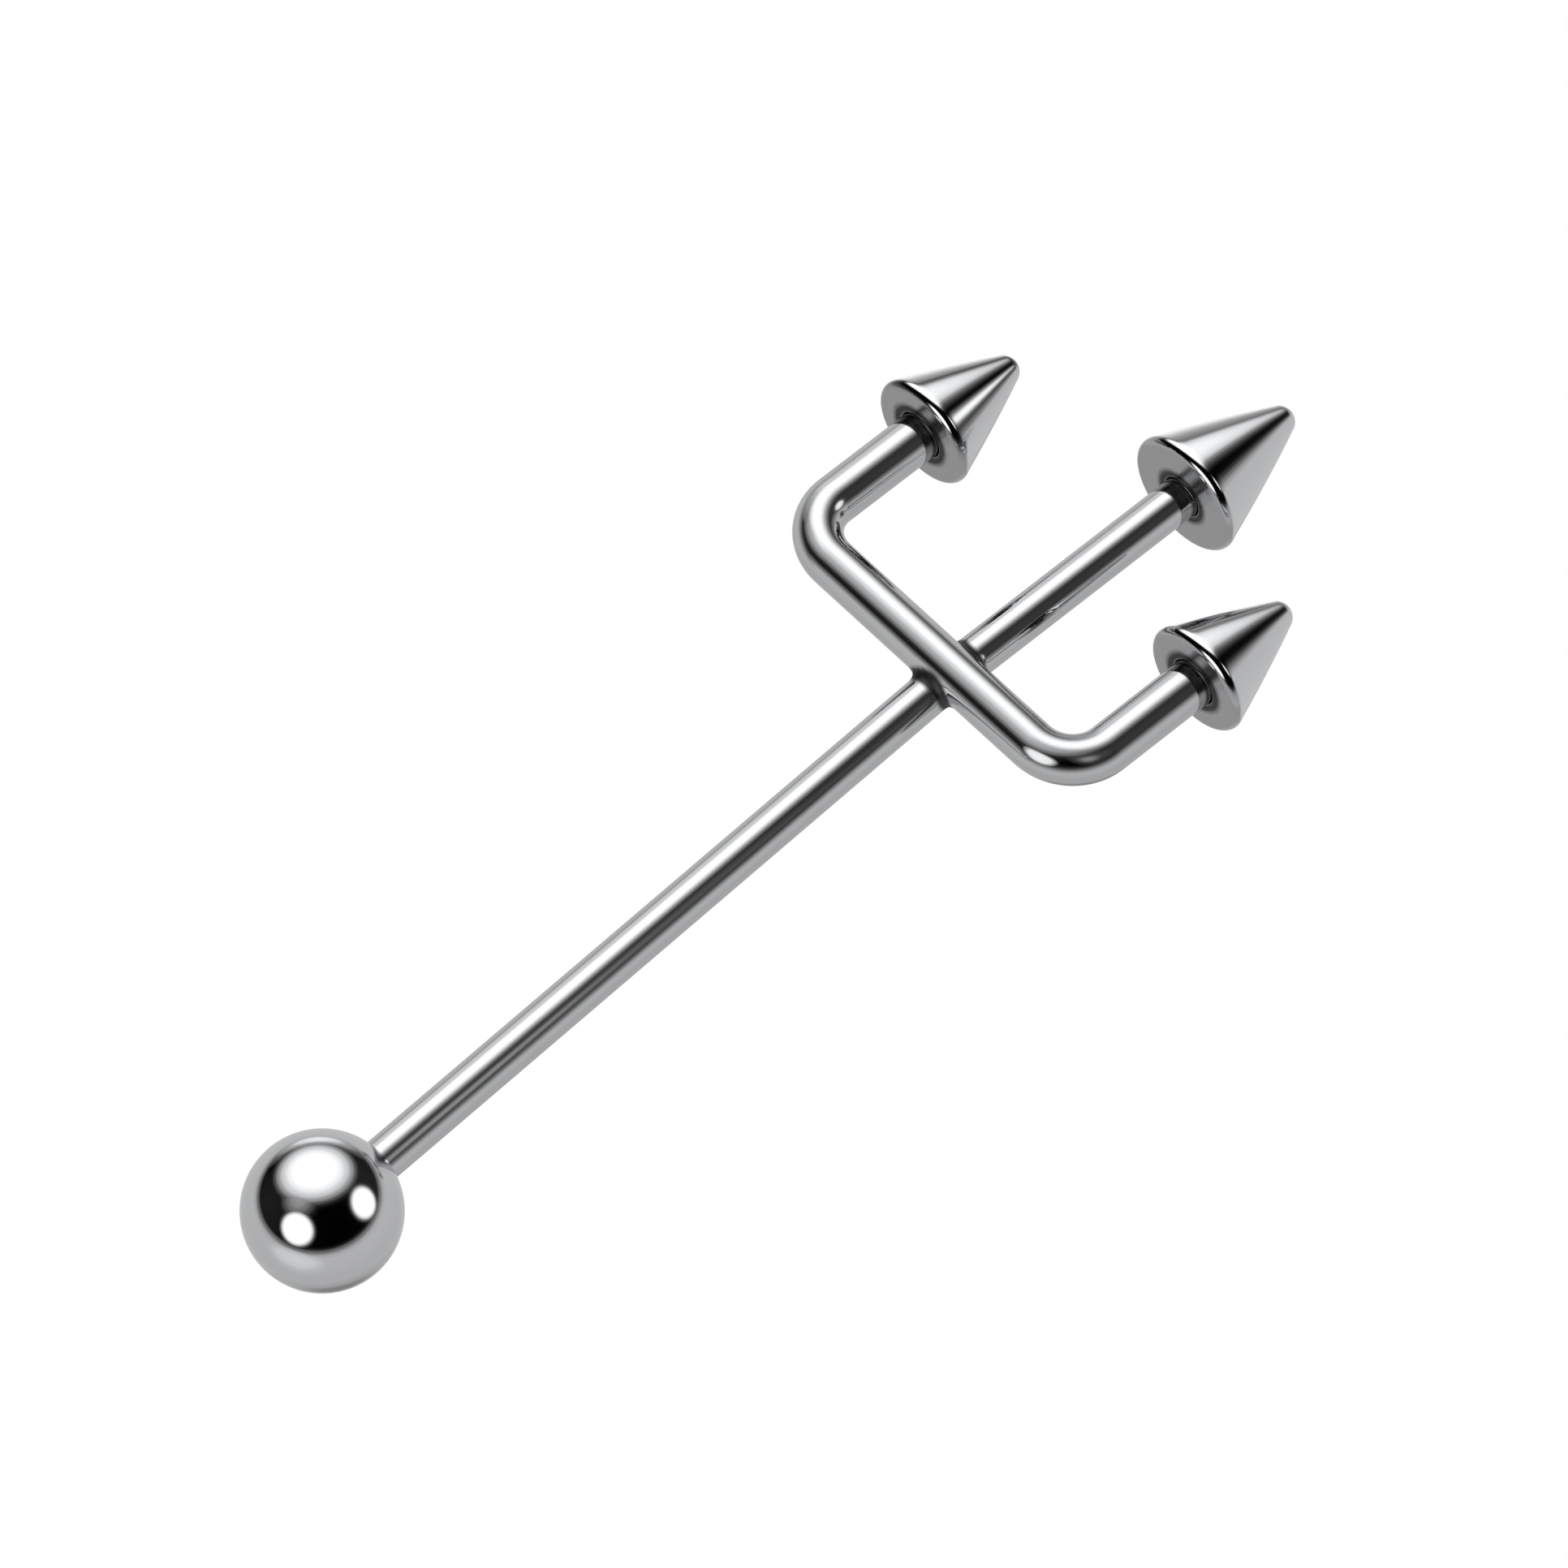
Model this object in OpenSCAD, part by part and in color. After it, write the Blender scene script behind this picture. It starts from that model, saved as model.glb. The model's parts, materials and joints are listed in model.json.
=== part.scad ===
// Industrial barbell with a trident head: one long straight shank with a screw-on ball at one
// end, and at the other end three prongs that each carry a screw-on cone spike.
// Lengths are in millimetres. The piece lies on its side, as it does on a table: it rests on the
// ball, the centre cone and the left cone. +X runs along the shank towards the spikes, +Y is the
// trident's left and +Z is up.

/* [Shank] */
// Thickness of the straight shank, a 14 gauge rod
shank_d = 1.6; // [1.2:0.05:1.75]
// Bare shank from the ball's near pole to the middle of the crossbar
shank_len = 28.8; // [15:0.1:45]
// Length of the shank's thinner end beyond the crossbar, up to the centre cone's base
centre_len = 11.7; // [8:0.1:16]

/* [Fork] */
// Thickness of the bent wire that makes the crossbar and the two side prongs
wire_d = 1.85; // [1.8:0.05:2.2]
// Height of the bent wire's axis above the shank's axis, as the wire lies across the shank
fork_lift = 0.65; // [0.4:0.05:0.8]
// From the shank's axis sideways to the left prong's axis
left_reach = 7.85; // [6:0.05:11]
// From the shank's axis sideways to the right prong's axis
right_reach = 6.2; // [5.9:0.05:9]
// From the middle of the crossbar to the base of each side cone
prong_len = 6.15; // [4:0.05:7.5]
// Bend radius on the wire's centre line
bend_r = 1.9; // [1.3:0.05:2.6]
// Angle by which the whole fork leans to the right of the shank's line
fork_lean = 2.7; // [0:0.1:4]

/* [Ball] */
// Diameter of the ball
ball_d = 5.75; // [5.4:0.05:7]

/* [Cones] */
// Base diameter of the centre cone
centre_cone_d = 4.85; // [4.6:0.05:5.2]
// Height of the centre cone, from its flat base to its tip
centre_cone_h = 5.5; // [5:0.1:7]
// Base diameter of each side cone
side_cone_d = 4.4; // [4:0.05:4.6]
// Height of each side cone
side_cone_h = 4.75; // [4.6:0.05:6.5]
// Radius of the cones' blunt tips
tip_r = 0.6; // [0.3:0.05:0.7]
// Rounding of the rim round each cone's base
rim_r = 0.2; // [0.05:0.01:0.25]

/* [Screw ends] */
// Diameter of the screw post at each of the four ends
post_d = 1.1; // [0.9:0.05:1.15]
// Length of each screw post beyond its shoulder
post_len = 2.2; // [1.5:0.1:2.5]
// Depth to which the full rod sits inside the ball or cone
seat_depth = 0.25; // [0.15:0.05:0.35]
// Clearance between a rod or post and the hole that it sits in, on the radius
fit_gap = 0.03; // [0.01:0.01:0.06]
// Clearance between a shoulder or post end and the bottom of its hole
end_gap = 0.05; // [0.02:0.01:0.15]

/* [Solder] */
// Radius of the solder in the four corners where the crossbar meets the shank
solder_r = 0.35; // [0.2:0.05:0.5]
// Height of the solder in those corners, midway between the two axes
solder_h = 0.45; // [0.3:0.05:0.6]

/* [Hidden] */
$fn = 96;
shank_r = shank_d / 2;
wire_r = wire_d / 2;
ball_r = ball_d / 2;
post_r = post_d / 2;
centre_cone_r = centre_cone_d / 2;
side_cone_r = side_cone_d / 2;
// Points on a quarter of a rounding
arc_steps = 6;
// A cutter passes this far through the face that it opens
cut = 0.5;
// The solder block ends inside the rods and its cutters bite into them, so no faces are tangent
solder_block = 0.8;
solder_bite = 1.04;
// The solder's collar starts this share of the step from shank to crossbar below the crossbar's
// radius, and runs on into the shank to this share of its length. The bead stands proud of it by bead
collar_sink = 0.2;
collar_over = 1.15;
bead = 0.02;
collar_r = wire_r - collar_sink * (wire_r - shank_r);

// The ball's centre is the start of the shank's axis. The crossing is the middle of the crossbar.
crossing_x = ball_r + shank_len;
// The shank's full diameter ends this far inside the ball's near pole
shoulder_x = ball_r - seat_depth;

// Where a point of the fork lies once the fork has leaned about the crossing
function leaned(x, y) = [
    crossing_x + x * cos(fork_lean) + y * sin(fork_lean),
    y * cos(fork_lean) - x * sin(fork_lean)
];
centre_base = leaned(centre_len, 0);
left_base = leaned(prong_len, left_reach);
right_base = leaned(prong_len, -right_reach);
centre_tip = leaned(centre_len + centre_cone_h, 0);

// Lying still, the barbell touches the table with the ball and with the lowest rim points of the
// centre and left cones. up is the table's normal. Each foot depends a little on the normal that
// comes from the three feet, so the normal is worked out three times over.
along_fork = [cos(fork_lean), -sin(fork_lean), 0];
function unit(v) = v / norm(v);
function rim_foot(base, z, r, up) =
    [base.x, base.y, z] + rim_r * along_fork + r * unit((along_fork * up) * along_fork - up);
function table_normal(up) =
    let (ball_foot = -ball_r * up)
    unit(cross(rim_foot(centre_base, 0, centre_cone_r, up) - ball_foot,
               rim_foot(left_base, fork_lift, side_cone_r, up) - ball_foot));
table_up = table_normal(table_normal(table_normal([0, 0, 1])));
tilt = acos(table_up.z);
tilt_axis = [table_up.y, -table_up.x, 0];

// The frame's origin is on the table, under the middle of the whole piece
middle_x = (centre_tip.x - ball_r) / 2;
middle_y = (left_base.y + right_base.y) / 2;

module at_rest()
    translate([-middle_x, -middle_y, ball_r])
        rotate(a = tilt, v = tilt_axis)
            children();

// Places its children in the fork, whose x runs along the prongs from the middle of the crossbar
module in_fork(x = 0, y = 0, z = 0)
    translate([crossing_x, 0, 0])
        rotate([0, 0, -fork_lean])
            translate([x, y, z])
                children();

// A round rod along +X
module rod(r, length)
    rotate([0, 90, 0])
        cylinder(r = r, h = length);

// A rod's end: the full rod ends at its shoulder, inside the hole, and the thinner post goes on
module screw_end(r, length) {
    rod(r, length + seat_depth);
    rod(post_r, length + seat_depth + post_len);
}

// The hole for a screw end, from a base at x = 0 towards +X
module screw_hole(r) {
    translate([-cut, 0, 0])
        rod(r + fit_gap, cut + seat_depth + end_gap);
    rod(post_r + fit_gap, seat_depth + post_len + end_gap);
}

// One half of the crossbar, its bend and its prong. side is 1 for left and -1 for right
module half_fork(reach, side) {
    rotate([-90 * side, 0, 0])
        cylinder(r = wire_r, h = reach - bend_r);
    translate([bend_r, side * (reach - bend_r), 0])
        rotate([0, 0, side > 0 ? 90 : 180])
            rotate_extrude(angle = 90)
                translate([bend_r, 0])
                    circle(r = wire_r);
    translate([bend_r, side * reach, 0])
        screw_end(wire_r, prong_len - bend_r);
}

// Solder in the four corners of the crossing: a block hollowed by a round cutter at each corner,
// which sits midway between the two axes
module solder() {
    block_x = 2 * (wire_r + solder_block * solder_r);
    block_y = 2 * (shank_r + solder_block * solder_r);
    difference() {
        cube([block_x, block_y, solder_h], center = true);
        for (sx = [-1, 1], sy = [-1, 1])
            translate([sx * (wire_r + solder_r), sy * (shank_r + solder_r), 0])
                cylinder(r = solder_bite * solder_r, h = solder_h + cut, center = true);
    }
}

// Solder all round a thinner rod, along +X from the middle of the crossbar: a long low cone
module collar()
    rotate([0, 90, 0])
        cylinder(
            r1 = collar_r,
            r2 = collar_r - collar_over * (collar_r - shank_r),
            h = collar_over * (wire_r + solder_r)
        );

// Shank, fork and solder are one piece of metal
module bar()
    color("silver")
        at_rest() {
            translate([crossing_x, 0, 0])
                rotate([0, 0, 180]) {
                    screw_end(shank_r, shank_len);
                    collar();
                }
            in_fork() {
                screw_end(shank_r, centre_len);
                collar();
                // A bead of solder closes the V where the two leaning rods meet end to end
                sphere(r = collar_r + bead);
            }
            in_fork(z = fork_lift) {
                half_fork(left_reach, 1);
                half_fork(right_reach, -1);
            }
            in_fork(z = fork_lift / 2)
                solder();
        }

// The sphere is turned half round, so that its seam lies opposite the hole and the hole stays clear
// of it
module ball()
    color("gainsboro")
        at_rest()
            difference() {
                rotate([0, 0, 180])
                    sphere(r = ball_r);
                translate([ball_r, 0, 0])
                    rotate([0, 0, 180])
                        screw_hole(shank_r);
            }

// Points along an arc, from one angle to another
function arc(centre, r, from, to) =
    [for (i = [0 : arc_steps])
        let (a = from + (to - from) * i / arc_steps)
        centre + r * [cos(a), sin(a)]];

// Half outline of a cone spike: flat base, small rounded rim, straight flank and round tip.
// The flank is the line that touches both the rim's round and the tip's round.
function spike_outline(r, h) =
    let (rim = [r - rim_r, rim_r], top = [0, h - tip_r], gap = norm(top - rim),
         lean = atan2(top.y - rim.y, rim.x - top.x), turn = acos((tip_r - rim_r) / gap),
         flank = turn - lean)
    concat([[0, 0]], arc(rim, rim_r, -90, flank), arc(top, tip_r, flank, 90));

// A cone spike with its base at x = 0, pointing along +X
module spike(d, h, rod_r)
    difference() {
        rotate([0, 90, 0])
            rotate_extrude()
                polygon(spike_outline(d / 2, h));
        screw_hole(rod_r);
    }

module cone_centre()
    color("lightgray")
        at_rest()
            in_fork(centre_len)
                spike(centre_cone_d, centre_cone_h, shank_r);

module cone_left()
    color("lightgray")
        at_rest()
            in_fork(prong_len, left_reach, fork_lift)
                spike(side_cone_d, side_cone_h, wire_r);

module cone_right()
    color("lightgray")
        at_rest()
            in_fork(prong_len, -right_reach, fork_lift)
                spike(side_cone_d, side_cone_h, wire_r);

bar();
ball();
cone_centre();
cone_left();
cone_right();
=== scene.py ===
# %% [markdown]
# # A trident industrial barbell in polished steel
#
# An industrial barbell is worn through two holes in the rim of the ear. This one is a long straight
# rod with a ball screwed on at one end. At the other end a bent wire is soldered across the rod, so
# that it ends in three prongs, and each prong carries a screwed-on cone.
#
# The solid parts come from the CAD source and are loaded here as the fixed frame. Every piece is then
# rebuilt as a finer mesh over its solid, because polished metal is nearly all reflection, and a
# reflection shows each flat facet and each wrong curve of the surface below it.

# %% Load the frame
import json
import math

import bmesh
import bpy
import numpy as np
from mathutils import Matrix, Vector


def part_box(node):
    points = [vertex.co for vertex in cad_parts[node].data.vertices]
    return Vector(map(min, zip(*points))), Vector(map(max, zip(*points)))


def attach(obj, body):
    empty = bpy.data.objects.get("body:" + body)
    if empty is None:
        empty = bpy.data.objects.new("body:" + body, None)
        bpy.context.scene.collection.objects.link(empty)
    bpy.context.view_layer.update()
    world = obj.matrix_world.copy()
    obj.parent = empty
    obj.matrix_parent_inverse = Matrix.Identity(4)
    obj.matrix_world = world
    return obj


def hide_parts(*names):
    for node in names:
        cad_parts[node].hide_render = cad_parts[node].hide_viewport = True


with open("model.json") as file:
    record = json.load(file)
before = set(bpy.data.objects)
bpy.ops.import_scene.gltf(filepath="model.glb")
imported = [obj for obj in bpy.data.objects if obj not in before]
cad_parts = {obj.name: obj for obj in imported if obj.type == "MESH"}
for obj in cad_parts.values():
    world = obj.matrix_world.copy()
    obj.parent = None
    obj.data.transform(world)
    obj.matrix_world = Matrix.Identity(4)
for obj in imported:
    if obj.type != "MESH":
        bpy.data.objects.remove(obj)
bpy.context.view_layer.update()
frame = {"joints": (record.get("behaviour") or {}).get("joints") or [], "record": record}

# %% [markdown]
# ## Sizes
#
# A jeweller thinks of such a piece in millimetres, along its own rod, and not as it happens to lie on
# the table. So the pieces are built in millimetres in two workshop positions, one along the rod and
# one along the fork, and each finished mesh is then carried to where the CAD part lies.

# %% Sizes in millimetres
MM = 0.001
SHANK_RADIUS = 0.8
SHANK_LENGTH = 28.8
CENTRE_LENGTH = 11.7
WIRE_RADIUS = 0.925
FORK_LIFT = 0.65
LEFT_REACH = 7.85
RIGHT_REACH = 6.2
PRONG_LENGTH = 6.15
BEND_RADIUS = 1.9
BALL_RADIUS = 2.875
CENTRE_CONE = {"radius": 2.425, "height": 5.5}
SIDE_CONE = {"radius": 2.2, "height": 4.75}
TIP_RADIUS = 0.6
RIM_RADIUS = 0.26
POST_RADIUS = 0.55
POST_LENGTH = 2.2
SEAT_DEPTH = 0.25
FIT_GAP = 0.03
END_GAP = 0.05
print("Bare shank between ball and crossbar:", round(SHANK_LENGTH - WIRE_RADIUS, 2), "mm")

# %% [markdown]
# ## Where the part lies
#
# The frame says how the rod and the fork are turned. The mount is the rod's own axis, and the joint
# that draws the centre cone off runs along the prongs. The angles could be typed in here, but then a
# change in the CAD would leave the fine meshes behind. Two matrices hold the positions: one starts at
# the ball's centre and looks along the rod, and the other starts at the middle of the crossbar and
# looks along the prongs.

# %% Positions from the frame
def middle(node_name):
    low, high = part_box(node_name)
    return (low + high) / 2


def workshop(x_axis, y_axis, origin):
    """The matrix that carries millimetres along these axes to metres in the row frame."""
    axes = Matrix((x_axis, y_axis, x_axis.cross(y_axis))).transposed().to_4x4()
    return Matrix.Translation(origin) @ axes @ Matrix.Scale(MM, 4)


rod_axis = -Vector(frame["record"]["mounts"][0]["axis"]).normalized()
centre_joint = next(joint for joint in frame["joints"] if joint["name"] == "centre_cone_off")
prong_axis = Vector(centre_joint["axis"]).normalized()
to_left = (middle("cone_left") - middle("cone_right")).normalized()
up = prong_axis.cross(to_left).normalized()

ball_low, ball_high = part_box("ball")
ball_centre = Vector((ball_low.x + BALL_RADIUS * MM, *((ball_low + ball_high) / 2).yz))
crossing = ball_centre + rod_axis * (BALL_RADIUS + SHANK_LENGTH) * MM
on_rod = workshop(rod_axis, up.cross(rod_axis).normalized(), ball_centre)
on_fork = workshop(prong_axis, up.cross(prong_axis).normalized(), crossing)
LEAN = rod_axis.angle(prong_axis)
print("The crossing is at", [round(value / MM, 3) for value in crossing], "mm")
print("The fork leans", round(math.degrees(LEAN), 2), "degrees off the rod")

# %% [markdown]
# ## The camera
#
# The photo was taken from far away with a long lens, so its perspective is almost flat. The camera
# stands at about 62 degrees above the table, on the ball's side of the piece, and it is rolled by
# about 16 degrees. A camera could be placed by eye, but on thin rods a small error shows at once. So
# these few numbers come from fitting the part's outline to the photo.

# %% Camera
CAMERA_AIM = Vector((0.406, -0.101, 4.353)) * MM
CAMERA_AZIMUTH = math.radians(-150.292)
CAMERA_ELEVATION = math.radians(61.622)
CAMERA_ROLL = math.radians(16.383)
CAMERA_DISTANCE = 584.044 * MM
LENS_LENGTH = 380.1
SENSOR_WIDTH = 36.0
NEAREST_SEEN = 0.05
FURTHEST_SEEN = 20.0


def heading(azimuth, elevation):
    """The direction at this azimuth and elevation, both in radians."""
    level = math.cos(elevation)
    return Vector((level * math.cos(azimuth), level * math.sin(azimuth), math.sin(elevation)))


back = heading(CAMERA_AZIMUTH, CAMERA_ELEVATION)
aimed = (-back).to_track_quat("-Z", "Y")
camera = bpy.data.objects.new("camera", bpy.data.cameras.new("camera"))
camera.data.lens = LENS_LENGTH
camera.data.sensor_width = SENSOR_WIDTH
camera.data.clip_start = NEAREST_SEEN
camera.data.clip_end = FURTHEST_SEEN
camera.location = CAMERA_AIM + back * CAMERA_DISTANCE
camera.rotation_mode = "QUATERNION"
camera.rotation_quaternion = aimed @ Matrix.Rotation(CAMERA_ROLL, 3, "Z").to_quaternion()
bpy.context.scene.collection.objects.link(camera)
bpy.context.scene.camera = camera
print("Camera at", [round(value, 4) for value in camera.location])

# %% [markdown]
# ## The studio
#
# Polished steel has almost no colour of its own. What the eye reads as steel is the room in it: here a
# pale table all round, a dark room above it, one large soft light overhead at the back and two smaller
# ones at the sides. The ball in the photo mirrors nearly the whole room, so it tells where each light
# hangs, and how level the room is: it leans a little against the way in which the piece lies here.
#
# Area lights and white cards could stand round the piece. But each has a hard edge and a place that is
# slow to fit. So the room is painted on the inside of a large dome that only the steel mirrors. That
# gives each light its soft edge, and its place by direction alone, which is all that a mirror shows of
# a far light.

# %% Directions in the studio
STUDIO_LEAN = math.radians(13.6)
STUDIO_LEANS_TO = math.radians(115.0)
lean_axis = Vector((-math.sin(STUDIO_LEANS_TO), math.cos(STUDIO_LEANS_TO), 0.0))
studio = Matrix.Rotation(STUDIO_LEAN, 3, lean_axis)
camera_side = studio.inverted() @ back
camera_side_azimuth = math.atan2(camera_side.y, camera_side.x)


def toward(turn, elevation):
    """Direction in the studio, in degrees. turn goes from the camera's side to the picture's right."""
    return heading(camera_side_azimuth + math.radians(turn), math.radians(elevation))


print("The camera looks down at", round(math.degrees(math.asin(camera_side.z)), 1), "degrees in the studio")

# %% [markdown]
# ## Nodes from code
#
# A material is a tree of nodes. It could be drawn by hand in the editor, but each dome below has tens
# of nodes of the same kind, so short helpers make them. A colour ramp turns an angle into a grey, with
# soft steps between its stops, and it holds the first and the last grey beyond them.

# %% Node helpers
FIRST_ANGLE = -90
ANGLE_SPAN = 270


def nodes_of(owner):
    """The node tree of a material or a world, emptied."""
    owner.use_nodes = True
    owner.node_tree.nodes.clear()
    return owner.node_tree


def node(tree, kind, inputs=(), **settings):
    """A new node. inputs pairs a socket's name or place with a value or with a socket to link."""
    made = tree.nodes.new(kind)
    for name, value in settings.items():
        setattr(made, name, value)
    for name, value in dict(inputs).items():
        if isinstance(value, bpy.types.NodeSocket):
            tree.links.new(value, made.inputs[name])
        else:
            made.inputs[name].default_value = value
    return made


def maths(tree, operation, *values):
    return node(tree, "ShaderNodeMath", dict(enumerate(values)), operation=operation).outputs[0]


def vector_maths(tree, operation, *values):
    """A vector, or a number where the operation is a dot product."""
    made = node(tree, "ShaderNodeVectorMath", dict(enumerate(values)), operation=operation)
    return made.outputs["Value" if operation == "DOT_PRODUCT" else "Vector"]


def greys(tree, degrees, stops):
    """Looks up a grey by an angle. Each stop is (degrees, grey), and the angles run from -90 to 180."""
    place = maths(tree, "MULTIPLY_ADD", degrees, 1 / ANGLE_SPAN, -FIRST_ANGLE / ANGLE_SPAN)
    made = node(tree, "ShaderNodeValToRGB", {"Fac": place})
    made.color_ramp.interpolation = "EASE"
    elements = made.color_ramp.elements
    while len(elements) < len(stops):
        elements.new(1.0)
    for element, (angle, grey) in zip(elements, stops):
        element.position = (angle - FIRST_ANGLE) / ANGLE_SPAN
        element.color = (grey, grey, grey, 1.0)
    return made.outputs["Color"]


print("A ramp covers", ANGLE_SPAN, "degrees, from", FIRST_ANGLE)

# %% [markdown]
# ## The painted dome
#
# The greys below are the ones that the steel shows, from 0 for black to 1 for white, or a little more
# for a light that is brighter than white. The steel keeps about six tenths of the light, and a screen's
# grey is roughly the 2.2nd root of the light, so the dome turns each grey into the light that will be
# seen as that grey.
#
# A dome is a sphere round the ball. Its paint glows and is clear at once, so a ray that meets one dome
# goes on to what lies behind it. Each has a radius of its own, so that no two lie on each other. Light
# linking then lets a dome light only the pieces in one collection.

# %% The dome
DOME_RADIUS = {"bar": 3.0, "ball": 3.3, "cones": 3.6, "left_cone": 3.9}
STEEL_KEEPS = 0.6
SCREEN_GAMMA = 2.2
RAYS = ("camera", "diffuse", "glossy", "transmission", "shadow", "volume_scatter")
mirrors = {who: bpy.data.collections.new("mirrors_" + who) for who in DOME_RADIUS}


def as_object(name, shape):
    """Makes a bmesh the mesh of a new object in the scene."""
    mesh = bpy.data.meshes.new(name)
    shape.to_mesh(mesh)
    shape.free()
    made = bpy.data.objects.new(name, mesh)
    bpy.context.scene.collection.objects.link(made)
    return made


def backdrop(name, shape, seen_by):
    """A thing that isn't part of the object, and that only one kind of ray sees."""
    made = as_object(name, shape)
    for ray in RAYS:
        setattr(made, "visible_" + ray, ray == seen_by)
    return made


def sphere(radius):
    shape = bmesh.new()
    bmesh.ops.create_uvsphere(shape, u_segments=48, v_segments=24, radius=radius)
    return shape


def dome(name, who, radius, floor, lights):
    """The studio as the pieces in mirrors[who] show it. floor gives greys by elevation, and each light
    is (turn, elevation, flatness, greys by angle from its middle). The brightest one wins. A flatness
    above 1 makes a light lower than it is wide."""
    made = backdrop(name, sphere(radius), "glossy")
    made.location = ball_centre
    made.rotation_mode = "QUATERNION"
    made.rotation_quaternion = studio.to_quaternion()
    made.light_linking.receiver_collection = mirrors[who]

    material = bpy.data.materials.new(name)
    tree = nodes_of(material)
    place = node(tree, "ShaderNodeTexCoord").outputs["Object"]
    direction = vector_maths(tree, "NORMALIZE", place)
    height = node(tree, "ShaderNodeSeparateXYZ", {0: direction}).outputs["Z"]
    grey = greys(tree, maths(tree, "DEGREES", maths(tree, "ARCSINE", height)), floor)
    for turn, elevation, flatness, stops in lights:
        squash = Vector((1, 1, flatness))
        squashed = vector_maths(tree, "NORMALIZE", vector_maths(tree, "MULTIPLY", direction, squash))
        centre = (toward(turn, elevation) * squash).normalized()
        cosine = vector_maths(tree, "DOT_PRODUCT", squashed, centre)
        away = maths(tree, "DEGREES", maths(tree, "ARCCOSINE", cosine))
        grey = maths(tree, "MAXIMUM", grey, greys(tree, away, stops))
    strength = maths(tree, "DIVIDE", maths(tree, "POWER", grey, SCREEN_GAMMA), STEEL_KEEPS)
    glow = node(tree, "ShaderNodeEmission", {"Color": (1, 1, 1, 1), "Strength": strength})
    clear = node(tree, "ShaderNodeBsdfTransparent")
    both = node(tree, "ShaderNodeAddShader", {0: glow.outputs[0], 1: clear.outputs[0]})
    node(tree, "ShaderNodeOutputMaterial", {"Surface": both.outputs[0]})
    made.data.materials.append(material)
    print(name, "has a radius of", radius, "m, lights:", len(lights))


print("Pieces are lit in", len(mirrors), "groups:", ", ".join(mirrors))

# %% [markdown]
# ## What the ball mirrors
#
# One dome for all would be simpler. But the pieces in the photo don't show one room: the ball has a wide
# white light on its right, of which the straight rods show hardly anything, and the cones see the big
# light further down than the ball does. So each kind of piece gets its own dome.
#
# The ball shows all its lights: the big one overhead and the bright end of the table below it, one at
# the right and one at the left, a soft patch high up, a paler strip of table in front, and two dim walls.

# %% Studio of the ball
LEFT_LIGHT = (-43, 28, 1.0, ((0, 1.1), (18, 1.05), (21, 0.85), (25, 0.3), (28, 0.0)))
LEFT_WALL = (-100, 18, 1.0, ((0, 0.13), (30, 0.11), (50, 0.0)))
BALL_FLOOR = ((-86, 0.46), (-70, 0.61), (-60, 0.65), (-12, 0.68), (-7, 0.64), (0, 0.4), (5, 0.1), (9, 0.0))
BALL_LIGHTS = (
    (180, 59.5, 1.0, (
        (0, 1.1), (24, 1.03), (31, 0.94), (39, 0.79), (46, 0.55), (50, 0.3), (55, 0.1), (60, 0.02), (66, 0),
    )),
    (176, 0, 2.6, ((0, 0.92), (12, 0.84), (24, 0.58), (38, 0.3), (50, 0.0))),
    (77, 23, 1.0, ((0, 1.1), (15, 1.05), (18, 0.85), (22, 0.3), (25, 0.0))),
    LEFT_LIGHT,
    (-76, 62, 1.0, ((0, 0.58), (9, 0.53), (16, 0.42), (22, 0.28), (29, 0.1), (36, 0.0))),
    (-40, -16, 3.0, ((0, 0.79), (14, 0.77), (28, 0.68), (40, 0.3), (50, 0.0))),
    (112, 18, 1.0, ((0, 0.14), (20, 0.12), (40, 0.0))),
    LEFT_WALL,
)

dome("studio_for_ball", "ball", DOME_RADIUS["ball"], BALL_FLOOR, BALL_LIGHTS)

# %% [markdown]
# ## What the bar mirrors
#
# A straight rod draws the whole room out into long stripes: what lies to its sides makes the lines along
# it, and each line's edges tell how softly a light ends. For that reason the rods need gentler lights
# than the ball, and the table's end fades slowly into the dark. The big light is made of two that
# overlap, because the stripe on the rod is brighter on one side.

# %% Studio of the bar
BAR_FLOOR = (
    (-80, 0.5), (-66, 0.62), (-45, 0.62), (-10, 0.66), (0, 0.6),
    (7, 0.48), (13, 0.36), (22, 0.16), (34, 0.04), (42, 0.02),
)
BAR_LIGHTS = (
    (172, 52, 1.0, (
        (0, 1.06), (12, 1.0), (20, 0.9), (26, 0.73), (32, 0.58), (37, 0.42), (48, 0.2), (58, 0.05), (66, 0.0),
    )),
    (-160, 66, 1.0, (
        (0, 0.95), (8, 0.83), (16, 0.68), (26, 0.6), (37, 0.42), (48, 0.16), (56, 0.1), (68, 0.0),
    )),
    (-172, 22, 1.0, ((0, 0.8), (5, 0.76), (10, 0.67), (18, 0.58), (30, 0.45), (40, 0.0))),
    (-77, 0, 1.0, ((0, 0.69), (10, 0.59), (21, 0.37), (32, 0.12), (42, 0.0))),
    (-44, 38, 0.8, ((0, 0.95), (15, 0.9), (20, 0.6), (26, 0.0))),
    (88, 21, 1.0, ((0, 0.95), (8, 0.85), (14, 0.3), (18, 0.21), (30, 0.19), (50, 0.0))),
    LEFT_WALL,
)

dome("studio_for_bar", "bar", DOME_RADIUS["bar"], BAR_FLOOR, BAR_LIGHTS)

# %% [markdown]
# ## A near light
#
# One streak in the shank's dark band is bright beside the ball and fades away toward the fork. A far
# light looks the same all along a straight rod, so this one must be near. It is a small pale thing about
# five centimetres from the ball, and it gets a small dome of its own, which is clear all round it.

# %% A pale thing near the ball
NEAR_RADIUS = 0.055
NO_FLOOR = ((-90, 0.0), (90, 0.0))
PALE_THING = (78, 33, 1.0, ((0, 0.5), (6, 0.45), (9, 0.35), (12, 0.25), (15, 0.2), (19, 0.15), (25, 0.0)))

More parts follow.
